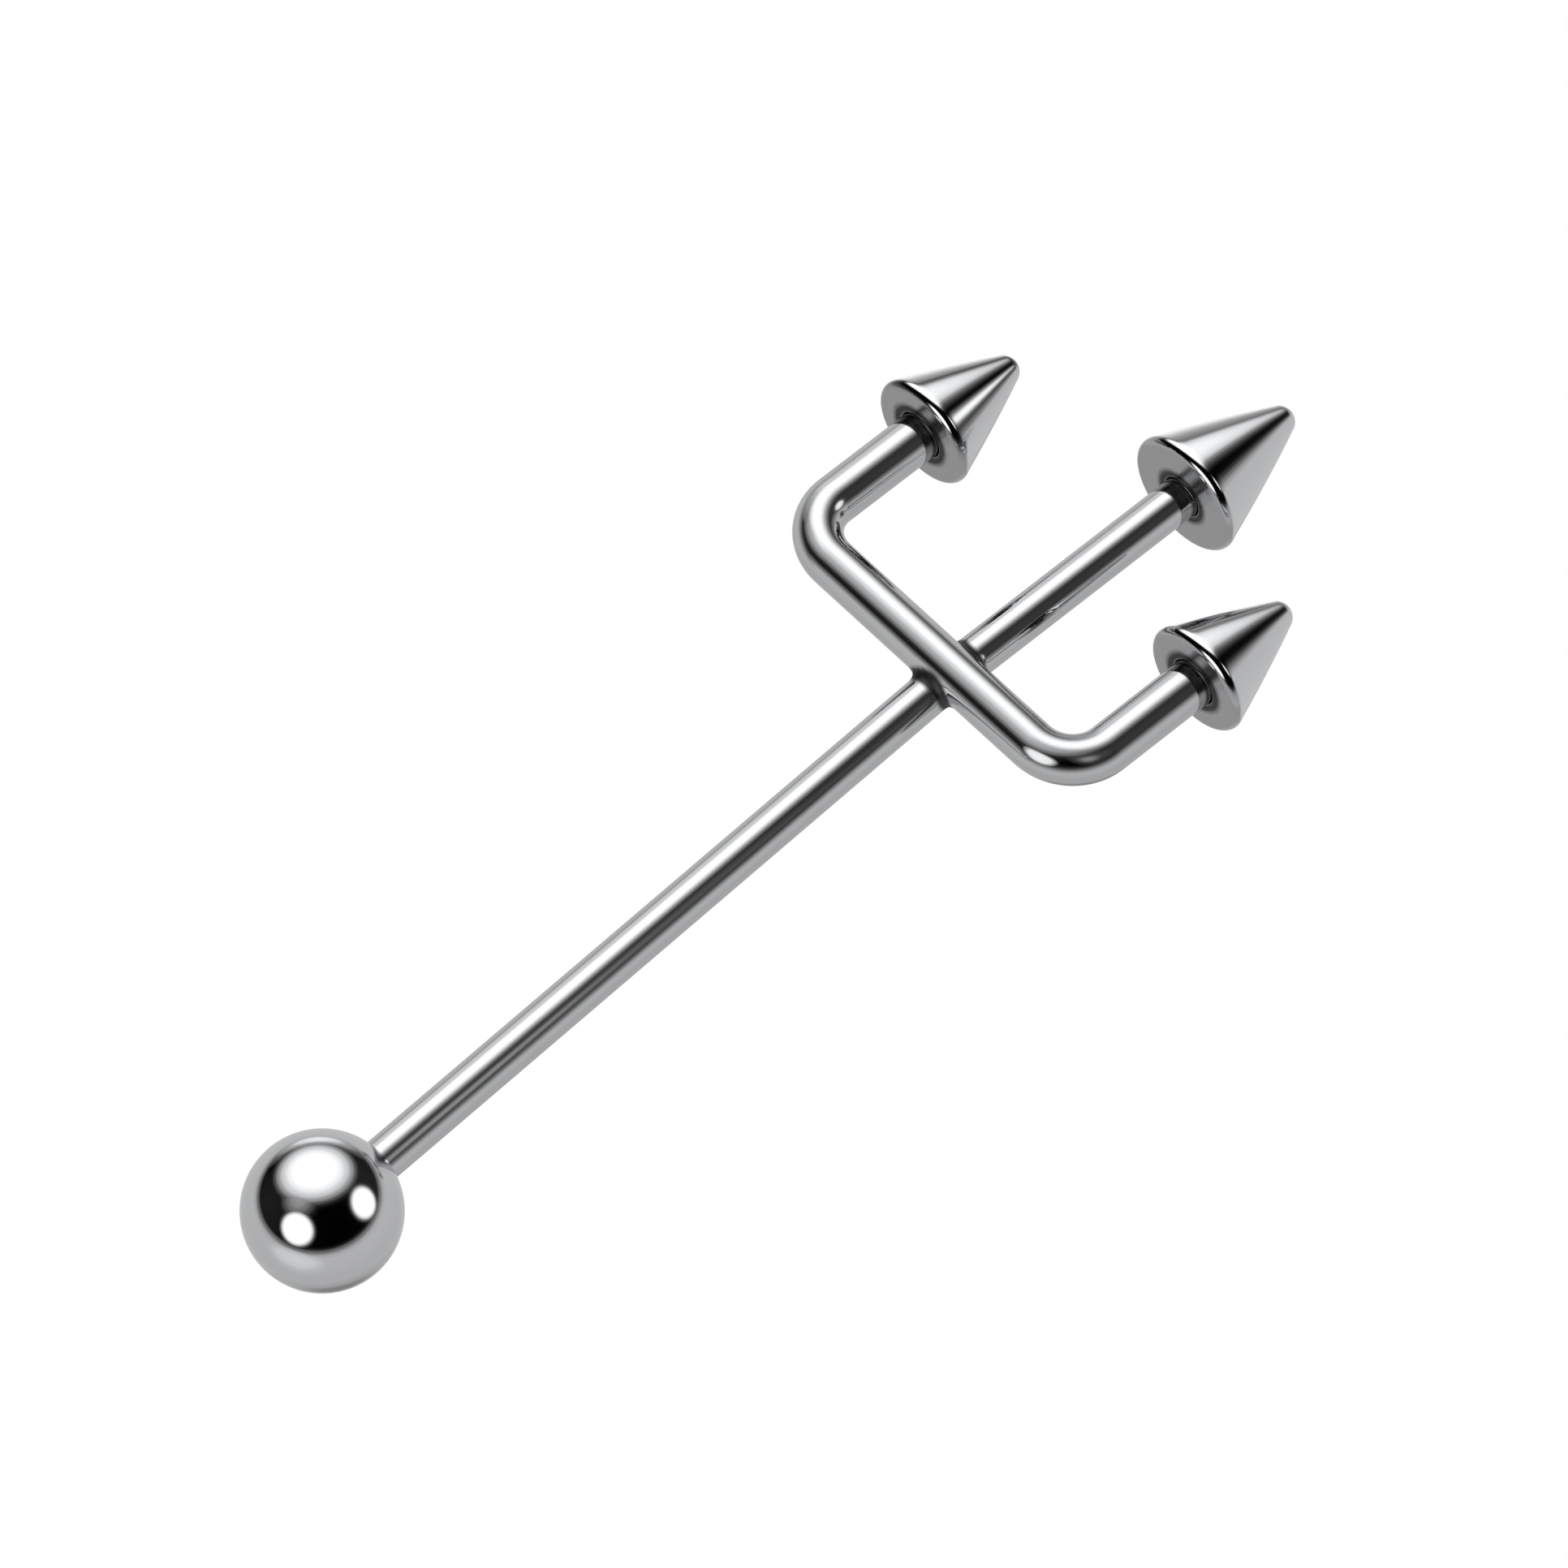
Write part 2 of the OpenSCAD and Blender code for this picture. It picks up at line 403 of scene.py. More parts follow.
dome("pale_thing_near_ball", "bar", NEAR_RADIUS, NO_FLOOR, (PALE_THING,))

# %% [markdown]
# ## What the cones mirror
#
# A cone's flank is nearly straight from rim to tip, so it shows few directions, and each as a wedge: a
# pale wedge of the big light, a black one of the dark room, and grey ones of the table. The base shows
# the table just below it, a little darker than the ball does. The lights are those of the ball, fitted
# again to these wedges.

# %% Studio of the cones
CONE_FLOOR = (
    (-80, 0.6), (-60, 0.54), (-40, 0.54), (-24, 0.6), (-8, 0.56),
    (0, 0.46), (6, 0.22), (12, 0.07), (18, 0.04),
)
CONE_LIGHTS = (
    (168, 42, 1.0, (
        (0, 1.1), (27, 1.04), (32, 0.96), (35, 0.87), (37, 0.77), (39.5, 0.5), (43.5, 0.28), (47.5, 0.13),
        (51, 0.04), (56, 0.0),
    )),
    (178, -42, 1.0, ((0, 0.85), (14, 0.83), (24, 0.7), (34, 0.56), (44, 0.3), (50, 0.0))),
    (84, 26, 1.0, ((0, 0.95), (8, 0.85), (14, 0.3), (18, 0.06), (30, 0.0))),
    LEFT_LIGHT,
)
PALE_SIDE = (95, -35, 1.0, ((0, 0.7), (32, 0.69), (37, 0.61), (42, 0.42), (46, 0.22), (50, 0.08), (55, 0.0)))

dome("studio_for_cones", "cones", DOME_RADIUS["cones"], CONE_FLOOR, (*CONE_LIGHTS, PALE_SIDE))

# %% [markdown]
# ## What the left cone mirrors
#
# The left cone alone shows a thin bright streak from rim to tip, with a dark line beside it. So it gets a
# dome of its own: a darker table, the pale side a little lower, and one narrow light more.

# %% Studio of the left cone
LEFT_CONE_FLOOR = (
    (-80, 0.6), (-60, 0.54), (-40, 0.54), (-24, 0.5), (-12, 0.34),
    (-2, 0.26), (6, 0.16), (12, 0.07), (18, 0.04),
)
LOWER_PALE_SIDE = (
    96, -42, 1.0, ((0, 0.7), (24, 0.68), (27, 0.62), (32, 0.45), (38, 0.29), (44, 0.15), (52, 0.0)),
)
NARROW_LIGHT = (106, 6, 1.0, ((0, 1.0), (3, 0.94), (5, 0.74), (7, 0.5), (9, 0.37), (12, 0.15), (15, 0.0)))
LEFT_CONE_LIGHTS = (*CONE_LIGHTS, LOWER_PALE_SIDE, NARROW_LIGHT)

dome("studio_for_left_cone", "left_cone", DOME_RADIUS["left_cone"], LEFT_CONE_FLOOR, LEFT_CONE_LIGHTS)

# %% [markdown]
# ## Table and wall
#
# The photo's background is cut out to pure white, while the steel mirrors a table that is light grey. A
# real white table would be seen in the steel as well. So what the camera sees is a glowing white table
# and wall that leave no trace in the steel.

# %% Table and wall for the camera
TABLE_RADIUS = 3.0
WALL_RADIUS = 6.0


def white(name):
    """A material that glows just white, whatever lights it."""
    material = bpy.data.materials.new(name)
    tree = nodes_of(material)
    glow = node(tree, "ShaderNodeEmission", {"Color": (1, 1, 1, 1), "Strength": 1.0})
    node(tree, "ShaderNodeOutputMaterial", {"Surface": glow.outputs[0]})
    return material


wall = backdrop("white_wall", sphere(WALL_RADIUS), "camera")
wall.data.materials.append(white("white_wall"))
disc = bmesh.new()
bmesh.ops.create_circle(disc, cap_ends=True, radius=TABLE_RADIUS, segments=96)
table = backdrop("table", disc, "camera")
table.data.materials.append(white("white_table"))
print("Table", 2 * TABLE_RADIUS, "m across, in a wall", 2 * WALL_RADIUS, "m across")

# %% [markdown]
# ## The dark room
#
# Past the domes there is only Blender's world. It could light the piece too, but then the domes' blacks
# would turn grey, so it stays all but black. The Standard view shows each grey as it was painted, where
# a filmic view would flatten the whites.

# %% The dark room beyond the lights
FAINT = 0.0005
world = bpy.data.worlds.new("room")
bpy.context.scene.world = world
world_tree = nodes_of(world)
air = node(world_tree, "ShaderNodeBackground", {"Color": (1, 1, 1, 1), "Strength": FAINT})
node(world_tree, "ShaderNodeOutputWorld", {"Surface": air.outputs[0]})
bpy.context.scene.view_settings.view_transform = "Standard"
bpy.context.scene.view_settings.look = "None"
print("The world glows at", FAINT, "of white")

# %% [markdown]
# ## Polished steel
#
# Surgical steel that has been drawn, turned and then buffed is smooth to the eye. Up close it keeps
# faint hairlines from the buffing wheel, and handling leaves soft cloudy patches that blur the
# reflections a little. Image textures could give both, but procedural noise has no seams and no pixels.
# It reads Object coordinates, so it stays put when a cone is unscrewed.
#
# Painted shade darkens and dulls the steel where it turns into a corner: in the corners of the soldered
# crossing, round the ball's mouth, in each cone's hole and on each cone's base close to the rod. It
# stands in for the dark that these corners mirror and hides the glints there. The base is also rougher
# than the rest, since it keeps the fine rings that the lathe's tool cut. Each of the meshes carries a
# value named "corner" that grows toward its corners, and the noise of the clouds frays the edge of the
# painted shade.

# %% Steel helpers
def between(tree, value, low, high, at_low=0.0, at_high=1.0):
    """Turns the values from low to high into those from at_low to at_high, and holds them beyond."""
    inputs = {"Value": value, "From Min": low, "From Max": high, "To Min": at_low, "To Max": at_high}
    return node(tree, "ShaderNodeMapRange", inputs).outputs[0]


def noise(tree, place, scale, detail, roughness):
    inputs = {"Vector": place, "Scale": scale, "Detail": detail, "Roughness": roughness}
    return node(tree, "ShaderNodeTexNoise", inputs).outputs["Fac"]


def mixed(tree, share, first, second):
    """The first colour where share is 0 and the second where it is 1."""
    inputs = {"Factor": share, "A": first, "B": second}
    return node(tree, "ShaderNodeMix", inputs, data_type="RGBA").outputs[2]


# %% [markdown]
# ## The finish itself
#
# A principled shader at full metal takes the colour of the steel as the colour of its reflections. The
# clouds move this colour and the roughness a little. The hairlines are a faint bump of ten micrometres,
# and the painted shade darkens and dulls what it covers. On a cone, a face counts as the lathed base
# where it looks straight back along the prong.

# %% Steel
CLOUDS = {"scale": 260.0, "detail": 3.0, "roughness": 0.6}
CLOUD_RANGE = (0.3, 0.7)
STEEL_COLOURS = ((0.585, 0.59, 0.6, 1), (0.615, 0.62, 0.63, 1))
BUFFED = (0.05, 0.09)
TURNED = 0.22
# Painted shade: the near-black colour and duller roughness painted into the corners of the steel.
PAINTED_SHADE_COLOUR = (0.02, 0.02, 0.021, 1)
PAINTED_SHADE_ROUGH = 0.4
PAINTED_SHADE_COVERS = 0.92
PAINTED_SHADE_EDGE = (0.1, 0.6)
FRAY = 0.5
BASE_EDGE = (0.97, 0.995)
HOLE_EDGE = (0.9, 0.99)
HAIRLINES = {"scale": 1.0, "detail": 4.0, "roughness": 0.7}
HAIRLINE_HEIGHT = 0.00001
HAIRLINE_SHARE = 0.03
FINE = 9000.0
DRAWN_OUT = 900.0
GRAINY = 3000.0


def polished_steel(name, hairline_scale, turned_side=None):
    """Steel with hairlines, clouds and painted shade in its corners. A low hairline scale draws the lines
    out along that axis, and turned_side is the direction in which a lathed base looks."""
    material = bpy.data.materials.new(name)
    tree = nodes_of(material)
    place = node(tree, "ShaderNodeTexCoord").outputs["Object"]
    clouds = noise(tree, place, **CLOUDS)
    stretched = node(tree, "ShaderNodeMapping", {"Vector": place, "Scale": hairline_scale}).outputs[0]
    hairlines = noise(tree, stretched, **HAIRLINES)
    colour = mixed(tree, clouds, *STEEL_COLOURS)
    rough = between(tree, clouds, *CLOUD_RANGE, *BUFFED)
    corner = node(tree, "ShaderNodeAttribute", attribute_name="corner").outputs["Fac"]
    # Painted shade: strongest where the corner value is high, with its edge frayed by the clouds.
    # The clouds lie round one half, so they add half of FRAY to the corner on average.
    painted_shade = maths(tree, "MULTIPLY_ADD", clouds, FRAY, corner)
    painted_shade = between(tree, painted_shade, *(level + FRAY / 2 for level in PAINTED_SHADE_EDGE), 0.0, PAINTED_SHADE_COVERS)
    if turned_side is not None:
        normal = node(tree, "ShaderNodeTexCoord").outputs["Normal"]
        facing = vector_maths(tree, "DOT_PRODUCT", normal, turned_side)
        # On a cone the painted shade stays in the hole and on the base.
        on_base = between(tree, facing, *BASE_EDGE)
        in_hole = between(tree, corner, *HOLE_EDGE)
        painted_shade = maths(tree, "MULTIPLY", painted_shade, maths(tree, "MAXIMUM", in_hole, on_base))
        rough = between(tree, facing, *BASE_EDGE, rough, TURNED)
    rough = between(tree, painted_shade, 0.0, 1.0, rough, PAINTED_SHADE_ROUGH)
    bump = node(tree, "ShaderNodeBump", {
        "Height": hairlines, "Strength": HAIRLINE_SHARE, "Distance": HAIRLINE_HEIGHT,
    })
    # The painted shade darkens the steel's colour wherever it covers it.
    steel = node(tree, "ShaderNodeBsdfPrincipled", {
        "Base Color": mixed(tree, painted_shade, colour, PAINTED_SHADE_COLOUR),
        "Metallic": 1.0,
        "Roughness": rough,
        "Normal": bump.outputs[0],
    })
    node(tree, "ShaderNodeOutputMaterial", {"Surface": steel.outputs[0]})
    return material


finishes = {
    "rod_steel": polished_steel("buffed_rod", (DRAWN_OUT, FINE, FINE)),
    "ball_steel": polished_steel("buffed_ball", (GRAINY, GRAINY, GRAINY)),
    "cone_steel": polished_steel("buffed_cone", (FINE, DRAWN_OUT, FINE), turned_side=-prong_axis),
}
print("Finishes:", ", ".join(finishes))

# %% [markdown]
# ## Finishing a piece
#
# Each piece is shaped as a bmesh in workshop millimetres. This helper carries it to its place, turns
# its faces outward, shades it smooth and hands it to the frame. It rides on its own CAD body and
# stands for the plain solid.

# %% Finish helper
def finish_piece(name, shape, place, slot, node_name, mirror):
    """Hands a shape to the frame as a piece with the finish of this slot, lit by the domes of mirror."""
    bmesh.ops.recalc_face_normals(shape, faces=shape.faces)
    bmesh.ops.transform(shape, matrix=place, verts=shape.verts)
    open_edges = sum(not edge.is_manifold for edge in shape.edges)
    piece = as_object(name, shape)
    piece.data.shade_smooth()
    piece.data.materials.append(finishes[slot])
    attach(piece, node_name)
    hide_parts(node_name)
    mirrors[mirror].objects.link(piece)
    print(name, "has", len(piece.data.polygons), "faces and", open_edges, "open edges")


# %% [markdown]
# ## The crossing
#
# The bent wire lies across the top of the rod and the two are sunk into each other. Silver solder has
# run into the corners between them, where it leaves a round hollow with a radius of about a third of a
# millimetre.
#
# Two crossed cylinders and a boolean would give the rods, but the hollow between them would need a bevel
# along a curve in space, and that leaves a rough seam. So the metal is described by a distance: how far
# a point lies from the nearest rod, with the corner between two rods filled. Any fine mesh can then be
# shrunk onto it: each vertex slides down that distance until it is on the surface.

# %% Distance to the metal
SOLDER_RADIUS = 0.36
TINY = 1e-9
PROBE = 1e-4
FLATTEST = 0.05
SLIDES = 12


def from_axis(away, radius):
    """Distance to a round rod, and the way out of it, for points that lie so far away from its axis."""
    size = np.maximum(np.linalg.norm(away, axis=1), TINY)
    return size - radius, away / size[:, None]


def metal(points, further=False):
    """Distance in mm from points near the crossing, in the fork's workshop position, to the metal.
    With further, the distance to whichever of the two rods is further away."""
    halves = []
    for direction in np.array(((-math.cos(LEAN), -math.sin(LEAN), 0.0), (1.0, 0.0, 0.0))):
        along = np.maximum(points @ direction, 0.0)
        halves.append(from_axis(points - along[:, None] * direction, SHANK_RADIUS))
    (shank, shank_normal), (prong, prong_normal) = halves
    rod = np.minimum(shank, prong)
    rod_normal = np.where((prong < shank)[:, None], prong_normal, shank_normal)
    wire, wire_normal = from_axis((points - (0.0, 0.0, FORK_LIFT)) * (1.0, 0.0, 1.0), WIRE_RADIUS)
    corner = SOLDER_RADIUS * (1.0 - np.sum(rod_normal * wire_normal, axis=1)) + TINY
    fill = np.maximum(corner - np.abs(rod - wire), 0.0) / corner
    return np.maximum(rod, wire) if further else np.minimum(rod, wire) - corner * fill * fill / 4.0


def slope(points):
    """Direction in which the distance grows, one row for each point."""
    steps = PROBE * np.eye(3)
    return np.stack([(metal(points + step) - metal(points - step)) / (2 * PROBE) for step in steps], axis=1)


def onto_metal(verts):
    """Slides vertices onto the metal, and returns how far the worst one still lies from it."""
    points = np.array([vert.co for vert in verts], float)
    for _ in range(SLIDES):
        gradient = slope(points)
        steepness = np.maximum(np.sum(gradient * gradient, axis=1), FLATTEST)
        points -= (metal(points) / steepness)[:, None] * gradient
    for vert, point in zip(verts, points):
        vert.co = point
    return float(np.abs(metal(points)).max())


print("The middle of the rod is", round(-float(metal(np.zeros((1, 3)))[0]), 3), "mm deep in the metal")

# %% [markdown]
# ## A block with four arms
#
# The mesh to be shrunk could be a sphere, but its poles and its triangles would show as dents in the
# polish. A cube with four open arms has only quads, and their lines run along the rods and round them.
# So the four side faces of a cube are pulled out into arms, their ends are opened, and everything is
# split finely.

# %% Crossing block
ARM = 2.4
SPLITS = 24
MARGIN = 0.05
low, high = -SHANK_RADIUS - MARGIN, FORK_LIFT + WIRE_RADIUS + MARGIN
block_half = Vector((WIRE_RADIUS + 2 * MARGIN, SHANK_RADIUS + 2 * MARGIN, (high - low) / 2))

bar = bmesh.new()
bmesh.ops.create_cube(bar, size=2.0)
bmesh.ops.scale(bar, vec=block_half, verts=bar.verts)
side_faces = [face for face in bar.faces if abs(face.normal.z) < 0.5]
arm_ends = bmesh.ops.extrude_discrete_faces(bar, faces=side_faces)["faces"]
for face in arm_ends:
    direction = face.normal.copy()
    reach = ARM - abs(direction.dot(block_half))
    bmesh.ops.translate(bar, verts=face.verts, vec=direction * reach)
bmesh.ops.delete(bar, geom=arm_ends, context="FACES_ONLY")
bmesh.ops.subdivide_edges(bar, edges=bar.edges, cuts=SPLITS - 1, use_grid_fill=True)
print("Block:", len(bar.faces), "faces")

# %% [markdown]
# ## Bringing the block near the metal
#
# Shrinking works best from close by. So the splits of the flat block are first spread so that they land
# evenly round the rods, each arm is narrowed to its own rod, because the shank's arms lie low and the
# wire's lie high, and the arm of the shank is swung to the angle at which the fork leans.

# %% Spread and narrow the block
NARROWING = 0.5
ROUNDING = 1.0001


def even_angles(value, half):
    """Spreads the splits of the flat block so that they land evenly round the rod."""
    return half * math.tan(value / half * math.pi / 4) if abs(value) <= half * ROUNDING else value


def ease(value, start, end):
    """Rises smoothly from 0 at start to 1 at end."""
    share = min(max((value - start) / (end - start), 0.0), 1.0)
    return share * share * (3 - 2 * share)


def narrowed(place):
    """The height of a point of the block, once the arm that it is on has narrowed to its rod."""
    height = place.z + (low + high) / 2
    for reach, start, rod_height, radius in (
        (abs(place.x), block_half.x, 0.0, SHANK_RADIUS),
        (abs(place.y), block_half.y, FORK_LIFT, WIRE_RADIUS),
    ):
        share = ease(reach, start, start + NARROWING)
        if share > 0:
            return height * (1 - share) + (rod_height + place.z / block_half.z * (radius + MARGIN)) * share
    return height


for vert in bar.verts:
    vert.co = Vector(even_angles(value, half) for value, half in zip(vert.co, block_half))
    vert.co.z = narrowed(vert.co)
    swing = ease(-vert.co.x, block_half.x, ARM)
    if swing > 0:
        vert.co = Matrix.Rotation(LEAN * swing, 3, "Z") @ vert.co
distances = metal(np.array([vert.co for vert in bar.verts]))
print("Before shrinking, the block is within", round(float(np.abs(distances).max()), 2), "mm of the metal")

# %% [markdown]
# ## Shrinking it
#
# The block is shrunk onto the metal. The vertices bunch up a little on the way, so they are smoothed
# and shrunk again three times, all but the open rims, which stay round for the rods that follow. Last,
# each vertex learns how far it lies from the further rod: that is small only in the soldered corners,
# where the steel gets its painted shade.

# %% Shrink the block
SMOOTHINGS = 3
PAINTED_SHADE_STARTS = 0.05
PAINTED_SHADE_WIDTH = 0.5
every_axis = {"use_axis_x": True, "use_axis_y": True, "use_axis_z": True}
rim_verts = {vert for edge in bar.edges if edge.is_boundary for vert in edge.verts}
inner_verts = [vert for vert in bar.verts if vert not in rim_verts]
onto_metal(list(bar.verts))
for _ in range(SMOOTHINGS):
    bmesh.ops.smooth_vert(bar, verts=inner_verts, factor=0.5, **every_axis)
    worst = onto_metal(inner_verts)
# The corner value tells the steel where to paint shade into the soldered corners.
corner = bar.verts.layers.float.new("corner")
rod_distances = metal(np.array([vert.co for vert in bar.verts], float), further=True)
for vert, distance in zip(bar.verts, rod_distances):
    vert[corner] = 1.0 - ease(distance, PAINTED_SHADE_STARTS, PAINTED_SHADE_WIDTH)
print("Crossing:", len(bar.faces), "faces, furthest from the metal", round(worst * 1000, 4), "micrometres")

# %% [markdown]
# ## Rods, bends and prongs
#
# The rest of the bar is drawn wire. It could be a curve with a round bevel, but then it would have to be
# joined to the crossing, and the joint would show. So its ends are pulled out of the four open rims of
# the crossing: straight runs are extruded and the two bends are spun round their centres, so that each
# rod keeps the same ring of vertices from end to end.

# %% Wire helpers
TOUCH = 1e-3


def verts_of(edges):
    """The vertices of some edges, each once."""
    return list(dict.fromkeys(vert for edge in edges for vert in edge.verts))


def rim_at(direction):
    """The open edges of the crossing that face this way."""
    open_edges = [edge for edge in bar.edges if edge.is_boundary]
    return [
        edge for edge in open_edges
        if all(vert.co.dot(direction) > ARM - TOUCH for vert in edge.verts)
    ]


def ring_centre(edges):
    """The middle of a ring. fsum rounds only once, so the order of the vertices makes no difference."""
    verts = verts_of(edges)
    return Vector([math.fsum(vert.co[axis] for vert in verts) / len(verts) for axis in range(3)])


def pull(edges, direction, length, steps=1, end_scale=1.0):
    """Extrudes an open ring along a direction, cuts the run into even steps and returns the new ring."""
    made = bmesh.ops.extrude_edge_only(bar, edges=edges)["geom"]
    verts = [item for item in made if isinstance(item, bmesh.types.BMVert)]
    new_edges = [item for item in made if isinstance(item, bmesh.types.BMEdge)]
    end = [edge for edge in new_edges if all(vert in verts for vert in edge.verts)]
    bmesh.ops.translate(bar, verts=verts, vec=direction * length)
    if steps > 1:
        lengthwise = [edge for vert in verts for edge in vert.link_edges if edge not in end]
        bmesh.ops.subdivide_edges(bar, edges=lengthwise, cuts=steps - 1, use_grid_fill=True)
    if end_scale != 1.0:
        bmesh.ops.scale(bar, vec=(end_scale,) * 3, verts=verts, space=Matrix.Translation(-ring_centre(end)))
    return end


# %% [markdown]
# ## Screw ends
#
# A screw end is a shoulder turned on the rod and a thinner post with a fine thread. A bump in the
# material could fake the thread, but it would be missing in the mesh. So the thread starts as a plain
# post of many close rings. Its vertices are then pushed in, most along a screw line that climbs one
# pitch in each turn, and not at all halfway between two of its turns. The threads in the ball and the
# cones are cut the same way, outward.
#
# Smooth shading bends a reflection wherever the surface turns a corner. A second ring close to each
# corner holds the bend there and leaves the long faces true.

# %% Screw end helpers
EDGE_BREAK = 0.06
HOLD = 0.04
PITCH = 0.25
THREAD_DEPTH = 0.07
THREAD_RINGS = 80
PLAIN_START = 0.02


def thread(shape, foot, direction, radius, depth):
    """Cuts a screw line into the plain post or hole of this radius that starts at foot."""
    side = direction.orthogonal().normalized()
    other = direction.cross(side)
    for vert in shape.verts:
        along = (vert.co - foot).dot(direction)
        away = vert.co - foot - direction * along
        if 0 < along < POST_LENGTH and abs(away.length - radius) < TOUCH:
            turns = math.atan2(away.dot(other), away.dot(side)) / (2 * math.pi)
            groove = abs(2 * ((along / PITCH - turns) % 1.0) - 1)
            fade = ease(along, PLAIN_START, PITCH) * ease(POST_LENGTH - along, PLAIN_START, PITCH)
            vert.co += away.normalized() * depth * groove * fade


def screw_end(edges, direction, radius):
    """Ends a rod with a square shoulder, whose edge is just broken, and a threaded post."""
    shoulder = radius - EDGE_BREAK
    radii = (radius, shoulder, shoulder - HOLD / 2, POST_RADIUS + HOLD / 2, POST_RADIUS)
    edges = pull(edges, direction, HOLD)
    for length, start, end in zip((EDGE_BREAK, 0.0, 0.0, 0.0), radii, radii[1:]):
        edges = pull(edges, direction, length, end_scale=end / start)
    foot = ring_centre(edges)
    edges = pull(edges, direction, POST_LENGTH - EDGE_BREAK, steps=THREAD_RINGS)
    thread(bar, foot, direction, POST_RADIUS, -THREAD_DEPTH)
    edges = pull(edges, direction, EDGE_BREAK, end_scale=(POST_RADIUS - EDGE_BREAK) / POST_RADIUS)
    bmesh.ops.contextual_create(bar, geom=edges)
    print("Post from", [round(value, 2) for value in foot], "mm in the fork's position")


# %% [markdown]
# ## Shank and centre prong
#
# On the real piece these are most likely one rod, which runs on under the wire. Here they are pulled
# out of the crossing to both sides. Each reaches a little way into the seat of its ball or cone, so that
# no gap shows there. A straight run needs no rings for its shape, but even ones keep the quads from
# getting so long that smooth shading wavers.

# %% Shank and centre prong
SHANK_STEPS = 60
CENTRE_STEPS = 24
REST_OF_END = SEAT_DEPTH - HOLD - EDGE_BREAK
toward_ball = Vector((-math.cos(LEAN), -math.sin(LEAN), 0.0))
forward = Vector((1, 0, 0))
shank_end = pull(rim_at(toward_ball), toward_ball, SHANK_LENGTH + REST_OF_END - ARM, steps=SHANK_STEPS)
screw_end(shank_end, toward_ball, SHANK_RADIUS)
centre_end = pull(rim_at(forward), forward, CENTRE_LENGTH + REST_OF_END - ARM, steps=CENTRE_STEPS)
screw_end(centre_end, forward, SHANK_RADIUS)

# %% [markdown]
# ## Crossbar and side prongs
#
# Such a wire is bent round a former, so each bend is a quarter of a circle. A spin of the open ring
# round the bend's centre gives just that, and leaves the ring ready for the straight prong. The left
# side reaches further than the right one, as in the photo.

# %% Crossbar, bends and side prongs
CROSSBAR_STEPS = 8
BEND_STEPS = 32
PRONG_STEPS = 12
for side, reach in ((1, LEFT_REACH), (-1, RIGHT_REACH)):
    outward = Vector((0, side, 0))
    ring = pull(rim_at(outward), outward, reach - BEND_RADIUS - ARM, steps=CROSSBAR_STEPS)
    bend_centre = Vector((BEND_RADIUS, side * (reach - BEND_RADIUS), FORK_LIFT))
    spun = bmesh.ops.spin(
        bar, geom=verts_of(ring) + ring, cent=bend_centre, axis=(0, 0, -side), dvec=(0, 0, 0),
        angle=math.pi / 2, steps=BEND_STEPS, use_merge=False, use_duplicate=False,
    )
    ring = [item for item in spun["geom_last"] if isinstance(item, bmesh.types.BMEdge)]
    ring = pull(ring, forward, PRONG_LENGTH - BEND_RADIUS + REST_OF_END, steps=PRONG_STEPS)
    screw_end(ring, forward, WIRE_RADIUS)

finish_piece("polished_bar", bar, on_fork, "rod_steel", "bar", "bar")

# %% [markdown]
# ## Lathe work
#
# Ball and cones are turned on a lathe, and Blender's spin is a lathe too. So half of an outline is drawn
# as short edges and spun round the piece's own axis. A sphere or a cone from the menu would be quicker,
# but it has no seat, no hole and no rounded rim. The drilled side gets a wide seat for the rod, and a
# narrower hole for the screw with the pointed end that a drill leaves.

# %% Lathe helpers
LATHE_STEPS = 128
MERGE = 1e-5
DRILL_POINT = 0.58


def even_steps(start, end, steps):
    return [start + (end - start) * step / steps for step in range(steps + 1)]


def arc(centre, radius, start, end, steps):
    """Points along an arc as (along the axis, away from the axis). Angles in degrees from the axis."""
    angles = [math.radians(angle) for angle in even_steps(start, end, steps)]
    return [(centre[0] + radius * math.cos(angle), centre[1] + radius * math.sin(angle)) for angle in angles]


def lathe(outline):
    """Spins an outline of (along, away) points round the X axis into a closed shell."""
    shape = bmesh.new()
    verts = [shape.verts.new((along, away, 0.0)) for along, away in outline]
    edges = [shape.edges.new(pair) for pair in zip(verts, verts[1:])]
    bmesh.ops.spin(
        shape, geom=verts + edges, cent=(0, 0, 0), axis=(1, 0, 0), dvec=(0, 0, 0),
        angle=2 * math.pi, steps=LATHE_STEPS, use_merge=True, use_duplicate=False,
    )
    bmesh.ops.remove_doubles(shape, verts=shape.verts, dist=MERGE)
    return shape


def drilled(base, direction, seat_radius):
    """Outline of the hole for a screw end, from its mouth to its blind end on the axis."""
    seat, hole = seat_radius + FIT_GAP, POST_RADIUS + FIT_GAP
    floor = base + direction * (SEAT_DEPTH + END_GAP)
    end = floor + direction * POST_LENGTH
    wall = [(along, hole) for along in even_steps(floor, end, THREAD_RINGS)]
    step = [(floor - direction * HOLD, seat), (floor, seat), (floor, seat - HOLD), (floor, hole + HOLD)]
    return step + wall + [(end + direction * hole * DRILL_POINT, 0.0)]


def tapped(shape, base, direction):
    """Cuts the thread into the hole of a lathed shell."""
    foot = Vector((base + direction * (SEAT_DEPTH + END_GAP), 0.0, 0.0))
    thread(shape, foot, Vector((direction, 0.0, 0.0)), POST_RADIUS + FIT_GAP, THREAD_DEPTH)
    return shape
